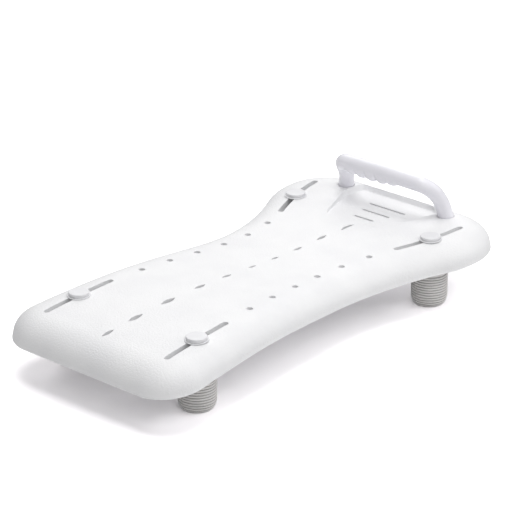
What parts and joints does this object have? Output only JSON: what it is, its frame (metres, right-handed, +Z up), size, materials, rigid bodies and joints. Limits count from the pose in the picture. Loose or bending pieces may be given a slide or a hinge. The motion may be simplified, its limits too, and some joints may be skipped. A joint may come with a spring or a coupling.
{
  "type": "bath board",
  "caption": "Moulded bath board with a waisted, gently waved seat, drain holes, soap dish, grab handle and ribbed rubber clamp feet that slide in slots.",
  "frame": {"origin": "on the floor, under the middle of the board's bounding box, with the board standing on its four feet", "axes": "+X to the end with the handle and soap dish, +Y to the left of a person facing that end, +Z up"},
  "size_m": [0.706, 0.3716, 0.1653],
  "materials": {
    "seat_white": "fine grained moulded white",
    "handle_white": "smooth cool white",
    "cap_white": "satin white",
    "grey_plastic": "satin grey",
    "rubber": "matt light grey",
    "steel": "stainless",
    "brass": "turned"
  },
  "bodies": {
    "board": {"board": "seat_white", "handle": "handle_white", "handle_screw_left": "steel", "handle_screw_right": "steel", "handle_washer_left": "steel", "handle_washer_right": "steel", "handle_insert_left": "brass", "handle_insert_right": "brass"},
    "clamp_open_left": {"knob_cap_open_left": "cap_white", "slot_flange_open_left": "cap_white", "clamp_bolt_open_left": "steel"},
    "lift_open_left": {"clamp_washer_open_left": "grey_plastic"},
    "foot_open_left": {"foot_hub_open_left": "grey_plastic", "foot_nut_open_left": "brass", "foot_sleeve_open_left": "rubber"},
    "clamp_open_right": {"knob_cap_open_right": "cap_white", "slot_flange_open_right": "cap_white", "clamp_bolt_open_right": "steel"},
    "lift_open_right": {"clamp_washer_open_right": "grey_plastic"},
    "foot_open_right": {"foot_hub_open_right": "grey_plastic", "foot_nut_open_right": "brass", "foot_sleeve_open_right": "rubber"},
    "clamp_handle_left": {"knob_cap_handle_left": "cap_white", "slot_flange_handle_left": "cap_white", "clamp_bolt_handle_left": "steel"},
    "lift_handle_left": {"clamp_washer_handle_left": "grey_plastic"},
    "foot_handle_left": {"foot_hub_handle_left": "grey_plastic", "foot_nut_handle_left": "brass", "foot_sleeve_handle_left": "rubber"},
    "clamp_handle_right": {"knob_cap_handle_right": "cap_white", "slot_flange_handle_right": "cap_white", "clamp_bolt_handle_right": "steel"},
    "lift_handle_right": {"clamp_washer_handle_right": "grey_plastic"},
    "foot_handle_right": {"foot_hub_handle_right": "grey_plastic", "foot_nut_handle_right": "brass", "foot_sleeve_handle_right": "rubber"}
  },
  "joints": [
    {"name": "travel_open_left", "type": "slide", "parent": "board", "child": "clamp_open_left", "axis": [0.997, -0.0418, 0.0649], "range_m": [-0.055, 0.055]},
    {"name": "drop_open_left", "type": "slide", "parent": "clamp_open_left", "child": "lift_open_left", "axis": [0, 0, 1], "range_m": [-0.0026, 0]},
    {"name": "turn_open_left", "type": "hinge", "parent": "lift_open_left", "child": "foot_open_left", "pos_m": [-0.24435, 0.10905, 0.04], "axis": [0, 0, 1], "range_deg": [-720, 0]},
    {"name": "travel_open_right", "type": "slide", "parent": "board", "child": "clamp_open_right", "axis": [0.997, 0.0418, 0.0649], "range_m": [-0.055, 0.055]},
    {"name": "drop_open_right", "type": "slide", "parent": "clamp_open_right", "child": "lift_open_right", "axis": [0, 0, 1], "range_m": [-0.0026, 0]},
    {"name": "turn_open_right", "type": "hinge", "parent": "lift_open_right", "child": "foot_open_right", "pos_m": [-0.24435, -0.10905, 0.04], "axis": [0, 0, 1], "range_deg": [-720, 0]},
    {"name": "travel_handle_left", "type": "hinge", "parent": "board", "child": "clamp_handle_left", "pos_m": [0.31799, -0.22626, 0.0848], "axis": [-0.0525, 0, 0.9986], "range_deg": [-8.3, 8.3]},
    {"name": "drop_handle_left", "type": "slide", "parent": "clamp_handle_left", "child": "lift_handle_left", "axis": [0, 0, 1], "range_m": [-0.0026, 0]},
    {"name": "turn_handle_left", "type": "hinge", "parent": "lift_handle_left", "child": "foot_handle_left", "pos_m": [0.2266, 0.12712, 0.04], "axis": [0, 0, 1], "range_deg": [-720, 0]},
    {"name": "travel_handle_right", "type": "hinge", "parent": "board", "child": "clamp_handle_right", "pos_m": [0.31799, 0.22626, 0.0848], "axis": [-0.0525, 0, 0.9986], "range_deg": [-8.3, 8.3]},
    {"name": "drop_handle_right", "type": "slide", "parent": "clamp_handle_right", "child": "lift_handle_right", "axis": [0, 0, 1], "range_m": [-0.0026, 0]},
    {"name": "turn_handle_right", "type": "hinge", "parent": "lift_handle_right", "child": "foot_handle_right", "pos_m": [0.2266, -0.12712, 0.04], "axis": [0, 0, 1], "range_deg": [-720, 0]}
  ],
  "couplings": [
    {"joint": "drop_open_left", "follows": "turn_open_left", "m_per_rad": 0.000198},
    {"joint": "drop_open_right", "follows": "turn_open_right", "m_per_rad": 0.000198},
    {"joint": "drop_handle_left", "follows": "turn_handle_left", "m_per_rad": 0.000198},
    {"joint": "drop_handle_right", "follows": "turn_handle_right", "m_per_rad": 0.000198}
  ]
}
